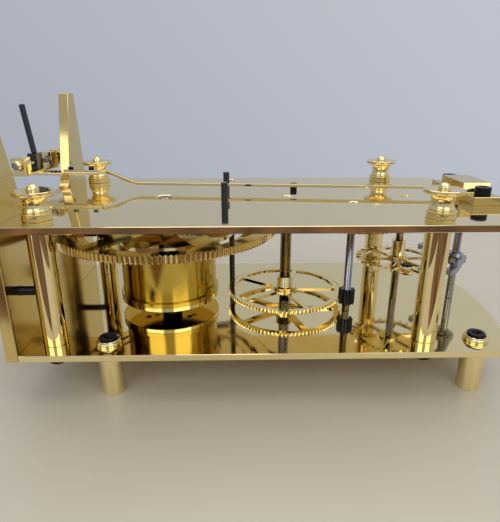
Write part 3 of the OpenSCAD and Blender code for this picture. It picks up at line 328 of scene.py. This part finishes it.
def arc(centre_r, centre_z, radius, start, end, steps):
    """Profile points along a circle, from one angle to another, in degrees."""
    angles = [math.radians(start + (end - start) * i / steps) for i in range(steps + 1)]
    return [(centre_r + radius * math.cos(a), centre_z + radius * math.sin(a)) for a in angles]


# Geometry node trees

def new_tree(name, inputs):
    """Geometry tree with named inputs and one geometry output."""
    tree = bpy.data.node_groups.new(name, "GeometryNodeTree")
    for label, kind in inputs:
        tree.interface.new_socket(label, in_out="INPUT", socket_type="NodeSocket" + kind)
    tree.interface.new_socket("Geometry", in_out="OUTPUT", socket_type="NodeSocketGeometry")
    return tree, add(tree, "NodeGroupInput").outputs


def close_tree(tree, geometry, material):
    """Ends a tree in plain geometry with its material."""
    real = add(tree, "GeometryNodeRealizeInstances", {0: geometry})
    painted = add(tree, "GeometryNodeSetMaterial", {"Geometry": real.outputs[0], "Material": material})
    add(tree, "NodeGroupOutput", {0: painted.outputs[0]})


def grown(name, tree, mesh=None, **sizes):
    """Runs a tree and gives its result as a plain mesh."""
    holder = link(name + "_holder", mesh or bpy.data.meshes.new(name + "_seed"))
    modifier = holder.modifiers.new("grow", "NODES")
    modifier.node_group = tree
    for item in tree.interface.items_tree:
        key = item.name.lower().replace(" ", "_")
        if item.in_out == "INPUT" and key in sizes:
            modifier[item.identifier] = sizes[key]
    bpy.context.view_layer.update()
    made = bpy.data.meshes.new_from_object(holder.evaluated_get(bpy.context.evaluated_depsgraph_get()))
    bpy.data.objects.remove(holder)
    made.name = name
    return made


BORDER_POINTS = 80  # round each opening between two spokes
BORE_POINTS = 64
NUDGE = 0.01  # keeps a whole point number from falling into the pitch before it

# The sums behind a wheel: each row names a result, its operation and its terms, which are the tree's inputs,
# results of rows above, numbers, or what the tree's own points give
WHEEL_SUMS = (
    # Toothed outline: every point's radius follows the tooth's profile
    ("points", "MULTIPLY", "Teeth", "Samples"),
    ("number", "ADD", "index", NUDGE),
    ("sample", "MODULO", "number", "Samples"),
    ("share", "DIVIDE", "sample", "Samples"),
    ("depth", "SUBTRACT", "Tip", "Root"),
    ("radius", "MULTIPLY_ADD", "tooth", "depth", "Root"),
    ("way round", "DIVIDE", "index", "points"),
    ("turned", "MULTIPLY", "way round", 2 * math.pi),
    ("turn", "ADD", "turned", "Phase"),
    ("turn cosine", "COSINE", "turn"),
    ("turn sine", "SINE", "turn"),
    ("tooth x", "MULTIPLY", "radius", "turn cosine"),
    ("tooth y", "MULTIPLY", "radius", "turn sine"),
    # Crossings: a square's border bent between hub, rim and two tapered spokes
    ("across", "ADD", "square x", 0.5),
    ("up", "ADD", "square y", 0.5),
    ("room", "SUBTRACT", "Rim", "Hub"),
    ("out", "MULTIPLY_ADD", "up", "room", "Hub"),
    ("loss", "SUBTRACT", 1.0, "Taper"),
    ("reach", "DIVIDE", "out", "Rim"),
    ("lost", "MULTIPLY", "loss", "reach"),
    ("kept", "SUBTRACT", 1.0, "lost"),
    ("half width", "MULTIPLY", "Spoke width", 0.5),
    ("half spoke", "MULTIPLY", "half width", "kept"),
    ("edge sine", "DIVIDE", "half spoke", "out"),
    ("edge", "ARCSINE", "edge sine"),
    ("step", "DIVIDE", 2 * math.pi, "Spokes"),
    ("both edges", "MULTIPLY", "edge", 2.0),
    ("opening", "SUBTRACT", "step", "both edges"),
    ("swept", "MULTIPLY_ADD", "across", "opening", "edge"),
    ("angle", "MULTIPLY_ADD", "copy", "step", "swept"),
    ("angle cosine", "COSINE", "angle"),
    ("angle sine", "SINE", "angle"),
    ("crossing x", "MULTIPLY", "out", "angle cosine"),
    ("crossing y", "MULTIPLY", "out", "angle sine"))


def wheel_tree(name, tooth):
    """Tree of a crossed-out wheel; tooth gives the height over one pitch, from root 0 to tip 1."""
    tree, given = new_tree(name, [
        ("Teeth", "Int"), ("Samples", "Int"), ("Root", "Float"), ("Tip", "Float"), ("Phase", "Float"),
        ("Thickness", "Float"), ("Rim", "Float"), ("Hub", "Float"), ("Spokes", "Int"), ("Spoke width", "Float"),
        ("Taper", "Float"), ("Bore", "Float"), ("Place", "Vector"), ("Material", "Material")])

    profile = add(tree, "ShaderNodeFloatCurve")
    curve = profile.mapping.curves[0]
    for spot, place in zip(tooth[:1] + tooth[-1:], curve.points):
        place.location = spot
    for spot in tooth[1:-1]:
        curve.points.new(*spot)
    for place in curve.points:
        place.handle_type = "VECTOR"
    profile.mapping.update()

    square = add(tree, "GeometryNodeCurvePrimitiveQuadrilateral", {"Width": 1.0, "Height": 1.0}, mode="RECTANGLE")
    border = add(tree, "GeometryNodeResampleCurve", {
        "Curve": square.outputs[0], "Count": BORDER_POINTS}, mode="COUNT")
    copies = add(tree, "GeometryNodeDuplicateElements", {
        "Geometry": border.outputs[0], "Amount": given["Spokes"]}, domain="SPLINE")
    corner = add(tree, "ShaderNodeSeparateXYZ", {0: add(tree, "GeometryNodeInputPosition").outputs[0]})

    known = {socket.name: socket for socket in given}
    known["index"] = add(tree, "GeometryNodeInputIndex").outputs[0]
    known["tooth"] = profile.outputs[0]
    known["copy"] = copies.outputs["Duplicate Index"]
    known["square x"], known["square y"] = corner.outputs["X"], corner.outputs["Y"]
    for result, operation, *terms in WHEEL_SUMS:
        values = {i: known.get(term, term) for i, term in enumerate(terms)}
        known[result] = add(tree, "ShaderNodeMath", values, operation=operation).outputs[0]
    tree.links.new(known["share"], profile.inputs["Value"])

    ring = add(tree, "GeometryNodeCurvePrimitiveCircle", {"Resolution": known["points"]}, mode="RADIUS")
    bore = add(tree, "GeometryNodeCurvePrimitiveCircle", {
        "Resolution": BORE_POINTS, "Radius": given["Bore"]}, mode="RADIUS")
    tooth_spot = add(tree, "ShaderNodeCombineXYZ", {0: known["tooth x"], 1: known["tooth y"]})
    crossing_spot = add(tree, "ShaderNodeCombineXYZ", {0: known["crossing x"], 1: known["crossing y"]})
    outline = add(tree, "GeometryNodeSetPosition", {
        "Geometry": ring.outputs[0], "Position": tooth_spot.outputs[0]})
    crossings = add(tree, "GeometryNodeSetPosition", {
        "Geometry": copies.outputs[0], "Position": crossing_spot.outputs[0]})
    curves = add(tree, "GeometryNodeJoinGeometry")
    for part in (outline, crossings, bore):
        tree.links.new(part.outputs[0], curves.inputs[0])
    face = add(tree, "GeometryNodeFillCurve", {"Curve": curves.outputs[0]}, mode="TRIANGLES")
    raised = add(tree, "GeometryNodeExtrudeMesh", {
        "Mesh": face.outputs[0], "Offset Scale": given["Thickness"], "Individual": False}, mode="FACES")
    under = add(tree, "GeometryNodeFlipFaces", {"Mesh": face.outputs[0]})
    body = add(tree, "GeometryNodeJoinGeometry")
    for part in (raised, under):
        tree.links.new(part.outputs[0], body.inputs[0])
    whole = add(tree, "GeometryNodeMergeByDistance", {"Geometry": body.outputs[0], "Distance": SAME_PLACE})
    placed = add(tree, "GeometryNodeTransform", {"Geometry": whole.outputs[0], "Translation": given["Place"]})
    close_tree(tree, placed.outputs[0], given["Material"])
    return tree


def corner_tree():
    """Tree that sets a piece at the corners of a rectangle."""
    tree, given = new_tree("set_at_corners", [
        ("Piece", "Geometry"), ("Along", "Int"), ("Across", "Int"), ("Length", "Float"), ("Width", "Float"),
        ("Place", "Vector"), ("Material", "Material")])
    grid = add(tree, "GeometryNodeMeshGrid", {
        "Size X": given["Length"], "Size Y": given["Width"],
        "Vertices X": given["Along"], "Vertices Y": given["Across"]})
    spots = add(tree, "GeometryNodeTransform", {"Geometry": grid.outputs[0], "Translation": given["Place"]})
    copies = add(tree, "GeometryNodeInstanceOnPoints", {"Points": spots.outputs[0], "Instance": given["Piece"]})
    close_tree(tree, copies.outputs[0], given["Material"])
    return tree


ROUNDED = wheel_tree("wheel_with_rounded_teeth", [
    (0.0, 0.0), (0.18, 0.0), (0.25, 0.16), (0.333, 0.6), (0.417, 0.95), (0.5, 1.0), (0.583, 0.95), (0.667, 0.6),
    (0.75, 0.16), (0.82, 0.0), (1.0, 0.0)])
POINTED = wheel_tree("wheel_with_pointed_teeth", [(0.0, 0.0), (0.333, 1.0), (0.375, 0.98), (0.625, 0.0), (1.0, 0.0)])
SAWN = wheel_tree("wheel_with_saw_teeth", [(0.0, 0.0), (0.0833, 1.0), (1.0, 0.0)])
AT_CORNERS = corner_tree()


# Wheels of the train

LENGTHS = ("root", "tip", "thickness", "rim", "hub", "spoke_width", "bore")
TOOTH_SAMPLES = 12
TOOTH_ABOVE, TOOTH_BELOW = 0.8, 1.15  # a tooth's reach past the pitch circle and below it, in modules
TAPER = 0.75  # a spoke's width at the rim, as a share of its width at the axis


def wheel(node, tree, axis, finish, edge, **sizes):
    """Crossed-out wheel that stands for its solid; its lengths are in millimetres."""
    inputs = {key: value * MM if key in LENGTHS else value for key, value in sizes.items()}
    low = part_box(node)[0]
    mesh = grown(node + "_cut", tree, place=(axis[0] * MM, axis[1] * MM, low.z), material=finish[0], **inputs)
    bm = bmesh.new()
    bm.from_mesh(mesh)
    bmesh.ops.recalc_face_normals(bm, faces=bm.faces)
    bmesh.ops.dissolve_limit(bm, angle_limit=LEVEL_ANGLE, verts=bm.verts, edges=bm.edges)
    rims = [e for e in bm.edges if e.is_manifold and e.calc_face_angle() > RIM_ANGLE
            and abs(e.verts[0].co.z - e.verts[1].co.z) < SAME_PLACE]
    break_edges(bm, rims, edge)
    into_mesh(bm, mesh, axis)
    seat(node + "_cut", mesh, finish, node)


def gear(teeth, axis, leaves, driven):
    """Teeth of a wheel that drives a pinion on another axis, with one tooth pointing at it."""
    module = 2 * math.dist(axis, driven) / (teeth + leaves)
    towards = math.atan2(driven[1] - axis[1], driven[0] - axis[0])
    return {"teeth": teeth, "samples": TOOTH_SAMPLES, "root": teeth * module / 2 - TOOTH_BELOW * module,
            "tip": teeth * module / 2 + TOOTH_ABOVE * module, "phase": towards - math.pi / teeth}


great = gear(160, BARREL, 16, CENTRE)
wheel("great_wheel", ROUNDED, BARREL, BRIGHT_TURNED, 0.1, **great, thickness=4.0, rim=great["root"] - 6.5,
      hub=15.0, spokes=6, spoke_width=17.0, taper=TAPER, bore=6.05)
centre = gear(96, CENTRE, 12, THIRD)
wheel("centre_wheel", ROUNDED, CENTRE, BRIGHT_TURNED, 0.08, **centre, thickness=2.0, rim=centre["root"] - 2.5,
      hub=8.2, spokes=5, spoke_width=4.4, taper=TAPER, bore=3.32)
third = gear(90, THIRD, 12, ESCAPE)
wheel("third_wheel", ROUNDED, THIRD, BRIGHT_TURNED, 0.08, **third, thickness=2.0, rim=third["root"] - 2.5,
      hub=7.0, spokes=5, spoke_width=4.4, taper=TAPER, bore=2.22)
wheel("escape_wheel", POINTED, ESCAPE, BRIGHT_TURNED, 0.06, teeth=30, samples=2 * TOOTH_SAMPLES, root=20.5,
      tip=25.0, phase=0.0, thickness=1.6, rim=18.7, hub=6.5, spokes=6, spoke_width=3.0, taper=TAPER, bore=2.22)
wheel("keeper_ratchet", SAWN, BARREL, BRIGHT_TURNED, 0.08, teeth=120, samples=TOOTH_SAMPLES, root=50.7,
      tip=52.0, phase=0.0, thickness=2.0, rim=47.0, hub=40.0, spokes=6, spoke_width=14.0, taper=TAPER, bore=6.05)
wheel("barrel_ratchet", SAWN, BARREL, STEEL, 0.08, teeth=40, samples=TOOTH_SAMPLES, root=20.2, tip=22.0,
      phase=0.0, thickness=3.6, rim=0.0, hub=0.0, spokes=0, spoke_width=0.0, taper=1.0, bore=6.02)


# Turned pieces set at the corners of the frame

def at_corners(name, profile, place, length, width, finish, nodes):
    """Four turned pieces at the corners of a rectangle, as one piece."""
    mesh = grown(name, AT_CORNERS, mesh=turned(name + "_one", profile), along=2, across=2,
                 length=length * MM, width=width * MM, place=tuple(v * MM for v in place), material=finish[0])
    mesh.set_sharp_from_angle(angle=SHADE_ANGLE)
    seat(name, mesh, finish, *nodes)


CORNERS = ("near_low", "near_high", "far_low", "far_high")
pillar_boxes = [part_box("pillar_" + corner) for corner in CORNERS]
pillar_axes = dict(zip(CORNERS, [(low + high) / 2 / MM for low, high in pillar_boxes]))
pillar_mid = ((pillar_axes["near_low"].x + pillar_axes["near_high"].x) / 2, 0.0)
pillar_run = pillar_axes["near_high"].x - pillar_axes["near_low"].x
pillar_span = pillar_axes["far_low"].y - pillar_axes["near_low"].y

nut_profile = (
    [(0.0, 0.02), (6.7, 0.02), (7.0, 0.3), (7.0, 2.35), (6.75, 2.5), (6.75, 2.75), (7.0, 2.9), (7.0, 3.45)]
    + arc(6.65, 3.45, 0.35, 0, 90, 4) + [(6.0, 3.85)] + arc(5.35, 4.6, 0.85, -50, 40, 6)
    + [(5.7, 5.6), (5.45, 6.3), (5.3, 7.2), (5.3, 8.2), (5.45, 9.2), (5.8, 10.1), (6.35, 10.8), (7.1, 11.35),
       (8.0, 11.75), (8.9, 12.0)]
    + arc(9.2, 12.4, 0.4, -70, 75, 6) + [(9.2, 12.88), (9.45, 13.0), (9.6, 13.15), (9.6, 13.7), (9.35, 13.98)]
    + [(8.9, 13.95), (7.5, 13.72), (5.5, 13.42), (3.6, 13.3), (2.75, 13.3), (2.7, 13.5)]
    + arc(0.0, 13.9, 3.0, -6, 90, 14)[:-1] + [(0.0, 16.9)])
at_corners("finial_nuts", nut_profile, (*pillar_mid, BACK_TOP), pillar_run, pillar_span, BRIGHT_TURNED,
           ["nut_" + corner for corner in CORNERS])
pillar_profile = (
    [(0.0, 0.0), (5.9, 0.0), (6.2, 0.3), (6.2, 61.7), (5.9, 62.0), (2.99, 62.0), (2.99, 69.2), (0.0, 69.2)])
at_corners("pillars", pillar_profile, (*pillar_mid, FRONT_TOP), pillar_run, pillar_span, POLISHED,
           ["pillar_" + corner for corner in CORNERS])
post_profile = (
    [(0.0, 10.0), (2.1, 10.0), (2.1, 0.4), (2.5, 0.0), (5.6, 0.0), (6.0, 0.4), (6.0, 24.7), (5.7, 25.0), (0.0, 25.0)])
at_corners("dial_posts", post_profile, (0.0, 0.0, 0.0), POST_RUN, POST_SPAN, SATIN_TURNED,
           ["post_" + corner for corner in CORNERS])
washer_profile = (
    [(2.6, 0.0), (6.2, 0.0), (6.4, 0.2), (6.4, 0.7)] + arc(5.2, 1.0, 1.2, 0, 62, 6)
    + [(5.6, 2.5), (5.45, 2.75), (5.1, 2.8), (4.9, 2.6), (4.9, 1.2), (2.6, 1.2), (2.6, 0.0)])
at_corners("cup_washers", washer_profile, (0.0, 0.0, FRONT_TOP), POST_RUN, POST_SPAN, POLISHED, ["post_washers"])


# The crutch arm rises to its foot in an easy S, where its solid has a straight slope

LEAN = math.radians(5.7027)  # the arm's turn from the middle line, where it rests
SLOPE = (202.1 * MM, 218.6 * MM)  # start and end of the solid's slope, from the pallet arbor
CURVE = (194.0 * MM, 218.6 * MM)  # the same for the S
RISE = 7.1 * MM
RISE_STEPS = 24


def easy_rise(bm):
    """Cuts the arm's slope into short steps and lays them on a smooth curve."""
    along = Vector((-math.cos(LEAN), math.sin(LEAN), 0.0))
    hub = Vector((PALLET[0] * MM, PALLET[1] * MM, 0.0))
    for i in range(RISE_STEPS + 1):
        spot = hub + along * (CURVE[0] + (CURVE[1] - CURVE[0]) * i / RISE_STEPS)
        bmesh.ops.bisect_plane(bm, geom=bm.verts[:] + bm.edges[:] + bm.faces[:], plane_co=spot, plane_no=along)
    for vertex in bm.verts:
        reach = (vertex.co - hub).dot(along)
        straight, share = [min(max((reach - start) / (end - start), 0.0), 1.0) for start, end in (SLOPE, CURVE)]
        vertex.co.z += RISE * (share * share * (3 - 2 * share) - straight)


dressed("crutch_arm", POLISHED, 0.12, bend=easy_rise)


# Every other solid keeps its shape and gets its finish, with its edges broken by so many millimetres

for finish, edge, nodes in (
        (POLISHED, 0.25, ("front_plate", "back_plate")),
        (POLISHED, 0.2, ("crutch_foot",)),
        (GRAINED, 0.3, ("seat_board", "back_cock"))):
    for node in nodes:
        dressed(node, finish, edge)
for finish, edge, axis, node in (
        (FINE_TURNED, 0.2, BARREL, "barrel_drum"),
        (BRIGHT_TURNED, 0.2, BARREL, "barrel_cap"),
        (BRIGHT_TURNED, 0.3, BARREL, "barrel_collet"),
        (BRIGHT_TURNED, 0.2, CENTRE, "centre_collet"),
        (BRIGHT_TURNED, 0.2, THIRD, "third_collet"),
        (BRIGHT_TURNED, 0.2, ESCAPE, "escape_collet")):
    dressed(node, finish, edge, axis)
for finish, edge, nodes in (
        (POLISHED, 0.08, ("minute_wheel", "hour_wheel", "beat_nut", "beat_knob")),
        (STEEL, 0.06, ("detent_spring", "click", "click_spring", "barrel_arbor", "detent_arm", "centre_arbor",
                       "escape_arbor", "pallet_arbor", "pallets", "cannon_pinion", "minute_stud")),
        (STEEL, 0.5, ("beat_screw",)),
        (DARK_PIN, 0.4, ("crutch_pin",)),
        (BLACK, 0.2, ("pillar_screws", "post_screws", "seat_screws", "cock_screws", "spring_screw",
                      "click_screw", "crutch_screws")),
        (DARK_PIN, 0.15, ("banking_pins", "detent_arbor", "beat_block"))):
    for node in nodes:
        dressed(node, finish, edge)
dressed("third_arbor", DARK_LEAVES, 0.06, THIRD)


# Stage: a pale table, a plain wall all round, soft light, and brown sheets seen only in reflections, which paint
# shade into the brass. Its sizes are in metres

TABLE = ((-0.9, -0.5), (0.9, -0.5), (0.9, 0.24), (-0.9, 0.24))
# Outlines of the brown sheets that paint dark reflections of shade into the brass
SHADE_SHEETS = {
    "long_cloth": ((-0.36, -0.5), (0.44, -0.5), (0.44, -0.35), (-0.36, -0.35)),
    "left_cloth": ((-0.122, -0.13), (-0.2, -0.17), (-0.32, -0.25), (-0.35, -0.35), (-0.02, -0.35)),
    "right_cloth": ((0.075, -0.13), (0.03, -0.21), (-0.015, -0.35), (0.44, -0.35), (0.42, -0.18), (0.2, -0.165))}
SHADE_SHEET_HEIGHT = 0.5 * MM


def table_finish():
    """Pale satin table top: soft reflections of the brass drawn out towards the viewer, faint wiping marks."""
    material, tree = new_material("Pale satin table top")
    place = add(tree, "ShaderNodeTexCoord").outputs["Object"]
    # Wiping marks about 20 mm apart and three times as long
    along = add(tree, "ShaderNodeMapping", {"Vector": place, "Scale": (0.3, 1.0, 1.0)}).outputs[0]
    marks = add(tree, "ShaderNodeTexNoise", {"Vector": along, "Scale": marks_apart(20), "Detail": 1.0}).outputs[0]
    finished(tree, marks, ("#e0d9c8", "#e8e2d4"), marks, (0.36, 0.42), {"Specular IOR Level": 1.0}, spread=(0.2, 0.8))
    return material


def painted_reflection_sheet():
    """Brown sheet with soft stripes that paints dark, streaked reflections into the brass; dull from above and clear
    from below, so that the table doesn't mirror it.
    """
    material, tree = new_material("Brown painted dark reflections")
    place = add(tree, "ShaderNodeTexCoord").outputs["Object"]
    # Stripes about 30 mm apart, running away from the movement, that paint darker and lighter streaks into the
    # reflections
    along = add(tree, "ShaderNodeMapping", {"Vector": place, "Scale": (1.0, 0.15, 1.0)}).outputs[0]
    # Darker and lighter brown of the painted reflection streaks
    streak_tone = add(tree, "ShaderNodeTexNoise", {"Vector": along, "Scale": marks_apart(30), "Detail": 1.0}).outputs[0]
    depth = add(tree, "ShaderNodeMapRange", {"Value": streak_tone, "From Min": 0.35, "From Max": 0.65}).outputs[0]
    colour = add(tree, "ShaderNodeMix", {
        0: depth, COLOUR_A: lin("#4a3a32"), COLOUR_B: lin("#946e5a")}, data_type="RGBA")
    dull = add(tree, "ShaderNodeBsdfPrincipled", {"Base Color": colour.outputs[COLOUR_OUT], "Roughness": 0.9})
    clear = add(tree, "ShaderNodeBsdfTransparent")
    under = add(tree, "ShaderNodeNewGeometry").outputs["Backfacing"]
    either = add(tree, "ShaderNodeMixShader", {0: under, 1: dull.outputs[0], 2: clear.outputs[0]})
    add(tree, "ShaderNodeOutputMaterial", {"Surface": either.outputs[0]})
    return material


def flat_sheet(name, outline, height, material):
    """Mesh of a level sheet with one face."""
    sheet = bpy.data.meshes.new(name)
    sheet.from_pydata([(x, y, height) for x, y in outline], [], [range(len(outline))])
    sheet.materials.append(material)
    return sheet


table = flat_sheet("table", TABLE, 0.0, table_finish())
link("table", table)

# The wall is blue grey, lighter to the right and above; it is seen as written and gives less light than that
world = bpy.data.worlds.new("room")
bpy.context.scene.world = world
world.use_nodes = True
room = world.node_tree
room.nodes.clear()
aim = add(room, "ShaderNodeTexCoord").outputs["Generated"]
side = add(room, "ShaderNodeVectorMath", {0: aim, 1: (0.5, 0.0, 0.5)}, operation="DOT_PRODUCT").outputs["Value"]
share = add(room, "ShaderNodeMapRange", {"Value": side, "From Min": -0.3, "From Max": 0.5}).outputs[0]
wall = add(room, "ShaderNodeMix", {
    0: share, COLOUR_A: lin("#a9adb7"), COLOUR_B: lin("#c6cad4")}, data_type="RGBA").outputs[COLOUR_OUT]
seen = add(room, "ShaderNodeBackground", {"Color": wall, "Strength": 1.0})
given = add(room, "ShaderNodeBackground", {"Color": lin("#e6e8ee"), "Strength": 0.24})
path = add(room, "ShaderNodeLightPath").outputs
first = add(room, "ShaderNodeMath", {0: path["Is Camera Ray"], 1: path["Is Glossy Ray"]}, operation="MAXIMUM")
direct = add(room, "ShaderNodeMath", {0: first.outputs[0], 1: path["Is Transmission Ray"]}, operation="MAXIMUM")
either = add(room, "ShaderNodeMixShader", {0: direct.outputs[0], 1: given.outputs[0], 2: seen.outputs[0]})
add(room, "ShaderNodeOutputWorld", {"Surface": either.outputs[0]})


def lamp(name, place, aim, wide, high, power, colour):
    """Soft rectangular lamp turned to a point."""
    light = bpy.data.lights.new(name, "AREA")
    light.shape = "RECTANGLE"
    light.size, light.size_y = wide, high
    light.energy = power
    light.color = lin(colour)[:3]
    shade = bpy.data.objects.new(name, light)
    shade.location = place
    shade.rotation_euler = (Vector(aim) - Vector(place)).to_track_quat("-Z", "Y").to_euler()
    bpy.context.scene.collection.objects.link(shade)


lamp("ceiling", place=(0.1, 0.1, 1.0), aim=(0, 0, 0), wide=1.5, high=1.1, power=6.2, colour="#fff6ea")
for name, place in {"left_window": (-0.66, -0.88, 0.8), "right_window": (0.52, -0.96, 0.8)}.items():
    lamp(name, place, aim=(0, 0, 0.08), wide=0.85, high=0.55, power=2.3, colour="#ffffff")

# Sheets laid flat in front of the movement and seen only in reflections: they paint dark streaks of shade into its
# polished brass
shade_sheet = painted_reflection_sheet()
for name, outline in SHADE_SHEETS.items():
    laid = link(name, flat_sheet(name, outline, SHADE_SHEET_HEIGHT, shade_sheet))
    laid.visible_camera = laid.visible_diffuse = laid.visible_shadow = False
